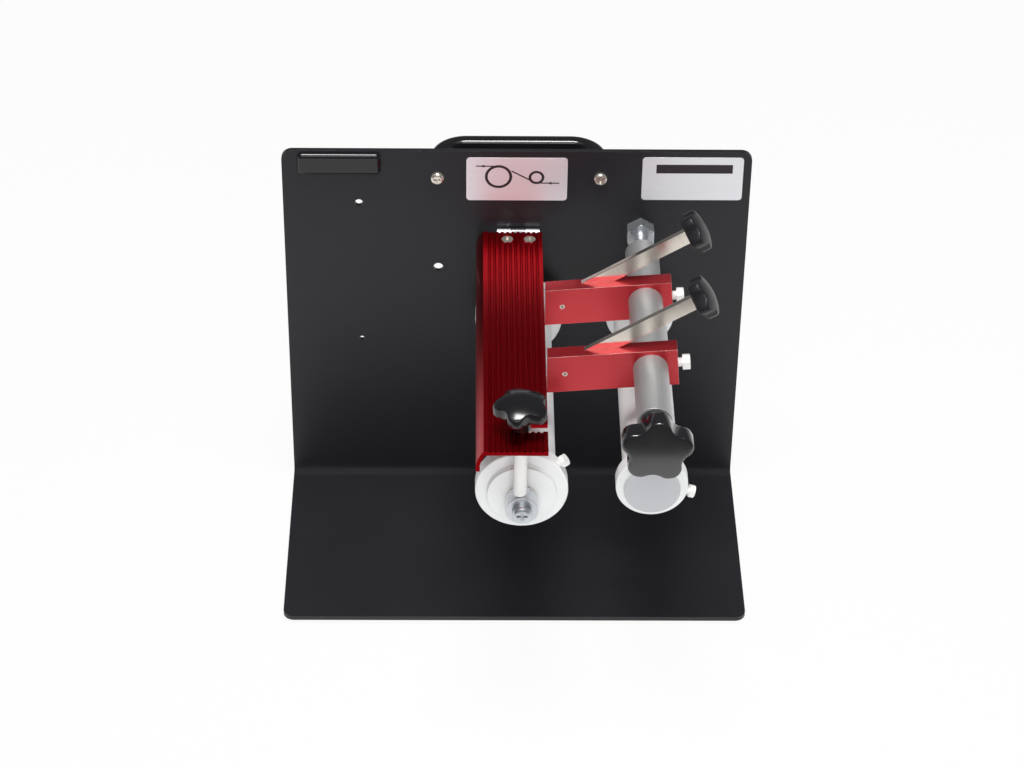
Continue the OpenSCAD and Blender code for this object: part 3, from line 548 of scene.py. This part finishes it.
def rounded_plate(bm, size, corner, front, thickness, centre):
    """A thin plate on the upright with rounded corners and an eased front rim"""
    bmesh.ops.create_cube(bm, size=1.0)
    bmesh.ops.scale(bm, verts=bm.verts, vec=(size[0], thickness, size[1]))
    uprights = [e for e in bm.edges if abs((e.verts[0].co - e.verts[1].co).normalized().y) > 0.9]
    bmesh.ops.bevel(
        bm, geom=uprights, offset=corner, offset_type="OFFSET", segments=8, profile=0.5, affect="EDGES",
        material=-1,
    )
    bmesh.ops.translate(bm, verts=bm.verts, vec=(centre.x, UPRIGHT_FACE - thickness / 2, centre.z))
    rim = [e for e in bm.edges if all(v.co.y < UPRIGHT_FACE - thickness * 0.9 for v in e.verts)]
    bmesh.ops.bevel(
        bm, geom=rim, offset=front, offset_type="OFFSET", segments=6, profile=0.5, affect="EDGES",
        material=-1,
    )


def threaded_rod(node, material, pitch, depth):
    """A rod along Y with a thread cut into it, in the place of a CAD rod"""
    low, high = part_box(node)
    centre = (low + high) / 2
    r = (high.x - low.x) / 2
    ridges = int((high.y - low.y) / pitch)
    start = low.y + (high.y - low.y - ridges * pitch) / 2
    root = r - depth
    outline = [(0.0, low.y), (root, low.y)]
    for i in range(ridges):
        outline += [(x, start + (i + share) * pitch) for x, share in ((root, 0.0), (r, 0.42), (r, 0.58))]
    outline += [(root, high.y), (0.0, high.y)]
    bm = bmesh.new()
    points = [bm.verts.new((x, y, 0.0)) for x, y in outline]
    edges = [bm.edges.new(pair) for pair in zip(points, points[1:])]
    bmesh.ops.spin(
        bm, geom=points + edges, cent=(0, 0, 0), axis=(0, 1, 0), angle=math.tau, steps=32,
        use_merge=True,
    )
    bmesh.ops.remove_doubles(bm, verts=bm.verts, dist=1e-7)
    bmesh.ops.recalc_face_normals(bm, faces=bm.faces)
    bmesh.ops.translate(bm, verts=bm.verts, vec=(centre.x, 0.0, centre.z))
    return add_piece(bm, node + "_thread", NODE_BODY[node], material, NODE_SLOT[node], node)


def lobed_radius(angle, d, lobes=5):
    """Outline of a star knob: lobes and hollows that meet tangentially"""
    lobe = d * 0.17
    lobe_at = d / 2 - lobe
    hollow_at = d * 0.6
    half = math.pi / lobes
    hollow = math.sqrt(lobe_at**2 + hollow_at**2 - 2 * lobe_at * hollow_at * math.cos(half)) - lobe
    turn = abs((angle + half) % (2 * half) - half)
    touch = (
        (lobe_at * hollow + hollow_at * math.cos(half) * lobe) / (lobe + hollow),
        hollow_at * math.sin(half) * lobe / (lobe + hollow),
    )
    if turn < math.atan2(touch[1], touch[0]):
        return lobe_at * math.cos(turn) + math.sqrt(lobe**2 - (lobe_at * math.sin(turn)) ** 2)
    rest = half - turn
    return hollow_at * math.cos(rest) - math.sqrt(hollow**2 - (hollow_at * math.sin(rest)) ** 2)


def star_knob(d, boss_d, boss, head, turn, crown, soft, points):
    """A star knob along +Z: round boss, lobed head with rounded edges and a domed face"""
    bm = bmesh.new()
    bmesh.ops.create_circle(bm, cap_ends=True, segments=points, radius=1.0)
    for v in bm.verts:
        angle = math.atan2(v.co.y, v.co.x)
        v.co = Vector((math.cos(angle), math.sin(angle), 0.0)) * lobed_radius(angle - turn, d)
    edge = min(0.0018, head / 4)
    size = 1.0 - 2 * edge / d
    bmesh.ops.scale(bm, verts=bm.verts, vec=(size, size, 1.0))
    bmesh.ops.translate(bm, verts=bm.verts, vec=(0.0, 0.0, boss))
    top = bm.faces[:][0]

    def next_loop(scale):
        nonlocal top, size
        grown = bmesh.ops.extrude_face_region(bm, geom=[top])["geom"]
        below = top
        top = next(g for g in grown if isinstance(g, bmesh.types.BMFace))
        if len(bm.faces) > points + 2:
            bmesh.ops.delete(bm, geom=[below], context="FACES_ONLY")
        bmesh.ops.scale(bm, verts=top.verts, vec=(scale / size, scale / size, 1.0))
        size = scale

    for rise, inset in ((0.13, 0.5), (0.5, 0.13), (1.0, 0.0)):
        next_loop(1.0 - 2 * edge * inset / d)
        for v in top.verts:
            v.co.z = boss + edge * rise
    dome = ((d / 2) ** 2 + crown**2) / (2 * crown)
    for scale, drop in ((1.0, 1.0), (0.99, 0.5), (0.975, 0.2), (0.95, 0.05), (0.91, 0.0), (0.85, 0.0),
                        (0.72, 0.0), (0.55, 0.0), (0.35, 0.0), (0.15, 0.0)):
        next_loop(scale)
        for v in top.verts:
            v.co.z = boss + head - dome + math.sqrt(dome**2 - v.co.x**2 - v.co.y**2) - soft * drop
    collar = bmesh.ops.create_cone(
        bm, cap_ends=True, segments=48, radius1=boss_d / 2 * 0.97, radius2=boss_d / 2, depth=boss + edge
    )
    bmesh.ops.translate(bm, verts=collar["verts"], vec=(0.0, 0.0, (boss + edge) / 2))
    bmesh.ops.recalc_face_normals(bm, faces=bm.faces)
    return bm


def spring_washer(inner, outer, thickness):
    """A split ring of square section, sprung open by a quarter of its thickness, along +Z"""
    bm = bmesh.new()
    section = [(inner, 0.0), (outer, 0.0), (outer, thickness * 0.75), (inner, thickness * 0.75)]
    corners = [bm.verts.new((r, 0.0, z)) for r, z in section]
    face = bm.faces.new(corners)
    bmesh.ops.spin(
        bm, geom=[face, *face.edges, *face.verts], cent=(0, 0, 0), axis=(0, 0, 1),
        dvec=(0, 0, thickness * 0.25 / 64), angle=math.radians(348), steps=64, use_merge=False,
    )
    bmesh.ops.remove_doubles(bm, verts=bm.verts, dist=1e-7)
    bmesh.ops.recalc_face_normals(bm, faces=bm.faces)
    return bm


def facing(x, y, z):
    """Frame with its Z axis pointing forwards and its Y axis up"""
    return Matrix.Translation((x, y, z)) @ Matrix.Rotation(math.radians(90), 4, "X")


def middle(node):
    low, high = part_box(node)
    return (low + high) / 2


# Operators


def colours():
    return bpy.context.scene.slitter_colours


def trim():
    return bpy.context.scene.slitter_trim


class SLITTER_OT_stand(Operator):
    """Coat the bent stand and its rubber feet"""

    bl_idname = "slitter.stand"
    bl_label = "Stand"

    def execute(self, context):
        coat = powder_coat("black_powder_coat", colours().stand)
        eased_piece("frame_plate", coat, trim().plate_edge, 3)
        dress(rubber("foot_rubber", colours().rubber), "rubber_feet")
        return {"FINISHED"}


class SLITTER_OT_labels(Operator):
    """Put the bare nameplate and the two silver labels on the upright"""

    bl_idname = "slitter.labels"
    bl_label = "Labels"

    def execute(self, context):
        sizes, shades = trim(), colours()
        path_at, notice_at, badge_at = (
            Vector((x, 0.0, PLATE_HIGH.z - down))
            for x, down in (PATH_LABEL_AT, NOTICE_LABEL_AT, NAMEPLATE_AT)
        )
        # The path label's pinkish silver is a painted reflection of the red guard
        path = reflection_tinted_path_foil("path_label_foil_painted_reflection", shades.reflection_tinted_path_foil, shades.ink, path_at)
        notice = banded_foil("notice_label_foil", shades.foil, shades.ink, notice_at)
        for name, at, face in (("path_label", path_at, path), ("notice_label", notice_at, notice)):
            bm = bmesh.new()
            rounded_plate(bm, sizes.label_size, sizes.label_corner, 0.00008, sizes.label_thickness, at)
            add_piece(bm, name, "frame", face, "plain_aluminium", weighted=True)
        bm = bmesh.new()
        rounded_plate(bm, sizes.badge_size, 0.003, 0.0025, sizes.badge_thickness, badge_at)
        dome = moulded("nameplate_dome", shades.grip, 0.12, 0.4, 0.2)
        add_piece(bm, "nameplate", "frame", dome, "grip_black", weighted=True)
        return {"FINISHED"}


class SLITTER_OT_handle(Operator):
    """Finish the carrying handle and the screws of handle, hinge and arms"""

    bl_idname = "slitter.handle"
    bl_label = "Carrying handle"

    def execute(self, context):
        round_piece("carry_handle", moulded("handle_plastic", colours().grip, 0.15, 0.6, 0.4))
        screws = plated("screw_steel", colours().steel, 0.22)
        round_piece("handle_screws", screws)
        round_piece("hinge_screws", screws)
        round_piece("guard_screws", screws)
        dress(screws, "rear_set_screw", "front_set_screw")
        return {"FINISHED"}


class SLITTER_OT_hardware(Operator):
    """Finish studs, nuts, washers and the screws at the axle ends"""

    bl_idname = "slitter.hardware"
    bl_label = "Studs and nuts"

    def execute(self, context):
        sizes = trim()
        zinc = plated("zinc_plate", colours().zinc, 0.28)
        for node in ("stud_nuts", "stud_washers", "drum_washer", "axle_spacer"):
            eased_piece(node, zinc, sizes.small_edge)
        for node in ("drum_axle", "idler_axle", "shaft_stud"):
            threaded_rod(node, zinc, sizes.thread_pitch, sizes.thread_depth)
        satin = plated("satin_zinc", colours().zinc, 0.34)
        for node in ("axle_screw", "idler_screw", "shaft_screw", "idler_washer", "shaft_washer"):
            round_piece(node, satin)
        low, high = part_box("axle_lock_washer")
        centre = (low + high) / 2
        bm = spring_washer(0.00315, (high.x - low.x) / 2, high.y - low.y)
        bmesh.ops.transform(bm, verts=bm.verts, matrix=facing(centre.x, high.y, centre.z))
        add_piece(
            bm, "axle_spring_washer", "frame", zinc, NODE_SLOT["axle_lock_washer"], "axle_lock_washer"
        )
        return {"FINISHED"}


class SLITTER_OT_rollers(Operator):
    """Finish both rollers, their collars, plugs and nylon bolts"""

    bl_idname = "slitter.rollers"
    bl_label = "Rollers"

    def execute(self, context):
        white = turned_plastic("roller_plastic", colours().roller, 0.42)
        nylon = turned_plastic("nylon", colours().nylon, 0.5)
        bronze = plated("sintered_bronze", colours().bronze, 0.4)
        # The cap's grey paints the shade in the small roller's recessed end
        painted_shade_cap = turned_plastic("cap_plastic_painted_shade", colours().painted_shade_cap, 0.4)
        for part in ("drum_tube", "drum_rear_flange", "drum_front_guide", "drum_plugs", "idler_tube",
                     "idler_rear_flange", "idler_front_guide", "idler_plugs"):
            round_piece(part, white)
        eased_piece("idler_end_cap", painted_shade_cap, trim().tube_edge)
        for part in ("drum_guide_bolt", "idler_guide_bolt", "rear_arm_bolt", "front_arm_bolt"):
            eased_piece(part, nylon, trim().small_edge)
        round_piece("guard_post", nylon)
        for part in ("drum_bushes", "idler_bushes", "shaft_bushes"):
            round_piece(part, bronze)
        return {"FINISHED"}


class SLITTER_OT_carriage(Operator):
    """Finish the shaft tube, the arms, the blade bars and the blades"""

    bl_idname = "slitter.carriage"
    bl_label = "Blade carriage"

    def execute(self, context):
        tube = drawn_metal("shaft_aluminium", colours().aluminium, 0.48, 1, metal=0.75)
        eased_piece("shaft_tube", tube, trim().tube_edge, 3)
        arm = drawn_metal("arm_anodised", colours().arm_red, 0.33, 0, depth=0.2, coat=1.0, metal=0.9)
        # Paler red on every eased edge of the arms: a painted edge highlight as well as rubbed wear
        wear_and_highlight = drawn_metal("arm_edge_wear_and_highlight", colours().wear_and_highlight_red, 0.3, 0, depth=0.2, metal=0.5)
        bar = drawn_metal(
            "bar_steel", colours().steel, 0.15, 2, turn=-BAR_SLOPE, depth=0.1, spread=0.05, tone=0.2
        )
        edge = plated("blade_steel", colours().zinc, 0.18, 1.0)
        for end in ("rear", "front"):
            eased_piece(end + "_arm", arm, trim().arm_edge, 3, wear_and_highlight)
            eased_piece(end + "_blade_bar", bar, trim().small_edge)
            dress(edge, end + "_blade")
        return {"FINISHED"}


class SLITTER_OT_guard(Operator):
    """Finish the ribbed guard and its hinge"""

    bl_idname = "slitter.guard"
    bl_label = "Guard"

    def execute(self, context):
        ribbed = drawn_metal(
            "guard_anodised", colours().guard_red, 0.32, 1, depth=0.04, spread=0.04, tone=0.03
        )
        eased_piece("guard", ribbed, trim().small_edge)
        bright = plated("hinge_zinc", colours().zinc, 0.28)
        dark = plated("hinge_dark_zinc", colours().dark_zinc, 0.4)
        eased_piece("hinge_fixed_leaf", bright, trim().small_edge * 0.6)
        eased_piece("hinge_moving_leaf", dark, trim().small_edge * 0.6)
        round_piece("hinge_pin", bright)
        round_piece("guard_knob_stud", bright)
        return {"FINISHED"}


class SLITTER_OT_knobs(Operator):
    """Make the four star knobs with rounded lobes and domed faces"""

    bl_idname = "slitter.knobs"
    bl_label = "Star knobs"

    def execute(self, context):
        black = moulded("knob_plastic", colours().grip, 0.18, 0.5, 0.2)
        glossy = moulded("shaft_knob_plastic", colours().grip, 0.14, 1.0, 0.6)
        satin = moulded("blade_knob_plastic", shade(colours().grip, 1.3), 0.36, 0.4, 0.0)
        sizes = trim()
        finish = {"soft": sizes.knob_soft, "points": sizes.knob_points}
        shaft = middle("shaft_tube")
        shaft_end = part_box("shaft_tube")[0].y
        head = shaft_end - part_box("shaft_knob")[0].y - SHAFT_KNOB["boss"]
        bm = star_knob(head=head, **SHAFT_KNOB, **finish)
        self.place(bm, facing(shaft.x, shaft_end, shaft.z), "shaft_star_knob", "shaft_knob", glossy)
        low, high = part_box("guard_knob")
        stud = middle("guard_knob_stud")
        bm = star_knob(head=high.z - low.z - GUARD_KNOB["boss"], **GUARD_KNOB, **finish)
        foot = Matrix.Translation((stud.x, stud.y, low.z))
        self.place(bm, foot, "guard_star_knob", "guard_knob", black)
        slope = Matrix(((0, -math.sin(BAR_SLOPE), math.cos(BAR_SLOPE)), (1, 0, 0),
                        (0, math.cos(BAR_SLOPE), math.sin(BAR_SLOPE)))).to_4x4()
        for end in ("rear", "front"):
            tip = middle(end + "_blade_bar") + slope.to_3x3().col[2] * BAR_REACH
            bm = star_knob(head=BLADE_KNOB_HEAD, **BLADE_KNOB, **finish)
            foot = Matrix.Translation(tip) @ slope
            self.place(bm, foot, end + "_blade_star_knob", end + "_blade_knob", satin)
        return {"FINISHED"}

    def place(self, bm, matrix, name, node, material):
        bmesh.ops.transform(bm, verts=bm.verts, matrix=matrix)
        add_piece(bm, name, NODE_BODY[node], material, NODE_SLOT[node], node, edge_angle=40.0)


class SLITTER_OT_studio(Operator):
    """Lay the pale floor and set up lamps, world and camera"""

    bl_idname = "slitter.studio"
    bl_label = "Studio"

    def execute(self, context):
        studio = context.scene.slitter_studio
        self.floor(studio.paper_front)
        for name, place, aim_z, size, watts, mirrored in (
            ("strip", (-0.03, -0.12, 1.45), 0.1, (0.5, 0.34), studio.strip_power, True),
            ("top_fill", (0.0, -0.5, 1.6), 0.15, (2.0, 1.4), studio.top_power, True),
            ("front_panel", (0.0, -1.75, 1.75), 0.15, (1.4, 0.9), studio.panel_power, True),
            ("front_fill", (0.1, -1.95, 0.9), 0.15, (1.3, 1.3), studio.front_power, False),
            ("side_fill", (1.5, -0.4, 0.9), 0.15, (0.8, 0.8), studio.side_power, False),
        ):
            self.lamp(name, place, (0.0, 0.0, aim_z), size, watts).visible_glossy = mirrored
        world = bpy.data.worlds.new("studio")
        world.use_nodes = True
        light = Tree(world.node_tree)
        _, y, z = light.split(light.node("ShaderNodeTexCoord", output="Generated"))
        backdrop = ((0.3 - z) * 4.0 | 0.0) & ((y + 0.3) * 2.0 | 0.0) & 0.3
        paper = light.light_path("Is Camera Ray") | light.light_path("Is Glossy Ray") * backdrop
        even = (studio.world_level, studio.world_level, studio.world_level * 1.04)
        background = world.node_tree.nodes["Background"]
        light.feed(background.inputs["Color"], light.tint(paper, even, (1.0, 1.0, 1.0)))
        context.scene.world = world
        context.scene.view_settings.view_transform = "Standard"
        camera = bpy.data.objects.new("camera", bpy.data.cameras.new("camera"))
        camera.data.sensor_fit = "HORIZONTAL"
        camera.data.sensor_width = 36.0
        camera.data.lens = studio.lens
        camera.data.clip_start = 0.05
        camera.location = studio.camera_place
        camera.rotation_euler = Euler(studio.camera_turn)
        context.scene.collection.objects.link(camera)
        context.scene.camera = camera
        return {"FINISHED"}

    def floor(self, paper_front):
        bm = bmesh.new()
        bmesh.ops.create_grid(bm, x_segments=4, y_segments=4, size=5.0)
        mesh = bpy.data.meshes.new("floor")
        bm.to_mesh(mesh)
        bm.free()
        f = Finish("floor_white")
        f.set(Base_Color=(0.86, 0.86, 0.86, 1.0), Roughness=0.8)
        seen = f.light_path("Is Camera Ray")
        mirrored = f.light_path("Is Glossy Ray")
        _, y, _ = f.axes()
        lit = ((y - paper_front) * 60.0 | 0.02) & 0.95
        white = f.node("ShaderNodeEmission", None, {"Strength": seen | mirrored * lit})
        mixed = f.node(
            "ShaderNodeMixShader", None,
            {0: 0.93 * (seen | mirrored), 1: Wire(f.tree, f.surface.outputs[0]), 2: white},
        )
        f.feed(f.tree.nodes["Material Output"].inputs["Surface"], mixed)
        mesh.materials.append(f.material)
        floor = bpy.data.objects.new("floor", mesh)
        bpy.context.scene.collection.objects.link(floor)

    def lamp(self, name, place, aim, size, watts):
        data = bpy.data.lights.new(name, "AREA")
        data.shape = "RECTANGLE"
        data.size, data.size_y = size
        data.energy = watts
        lamp = bpy.data.objects.new(name, data)
        lamp.location = place
        lamp.visible_camera = False
        lamp.rotation_euler = (Vector(aim) - Vector(place)).to_track_quat("-Z", "Y").to_euler()
        bpy.context.scene.collection.objects.link(lamp)
        return lamp


STEPS = (
    SLITTER_OT_stand,
    SLITTER_OT_labels,
    SLITTER_OT_handle,
    SLITTER_OT_hardware,
    SLITTER_OT_rollers,
    SLITTER_OT_carriage,
    SLITTER_OT_guard,
    SLITTER_OT_knobs,
    SLITTER_OT_studio,
)


class SLITTER_PT_finishes(Panel):
    """Lists the steps that dress the slitter"""

    bl_label = "Label slitter"
    bl_idname = "SLITTER_PT_finishes"
    bl_space_type = "VIEW_3D"
    bl_region_type = "UI"
    bl_category = "Slitter"

    def draw(self, context):
        for step in STEPS:
            self.layout.operator(step.bl_idname)
        scene = context.scene
        for group in (scene.slitter_colours, scene.slitter_trim, scene.slitter_studio):
            box = self.layout.box()
            for key in group.__annotations__:
                box.prop(group, key)


CLASSES = (SlitterColours, SlitterTrim, SlitterStudio, *STEPS, SLITTER_PT_finishes)


def register():
    for cls in CLASSES:
        bpy.utils.register_class(cls)
    bpy.types.Scene.slitter_colours = PointerProperty(type=SlitterColours)
    bpy.types.Scene.slitter_trim = PointerProperty(type=SlitterTrim)
    bpy.types.Scene.slitter_studio = PointerProperty(type=SlitterStudio)


def unregister():
    del bpy.types.Scene.slitter_studio
    del bpy.types.Scene.slitter_trim
    del bpy.types.Scene.slitter_colours
    for cls in reversed(CLASSES):
        bpy.utils.unregister_class(cls)


def main():
    register()
    bpy.ops.slitter.stand()
    bpy.ops.slitter.labels()
    bpy.ops.slitter.handle()
    bpy.ops.slitter.hardware()
    bpy.ops.slitter.rollers()
    bpy.ops.slitter.carriage()
    bpy.ops.slitter.guard()
    bpy.ops.slitter.knobs()
    bpy.ops.slitter.studio()


if __name__ == "__main__":
    main()
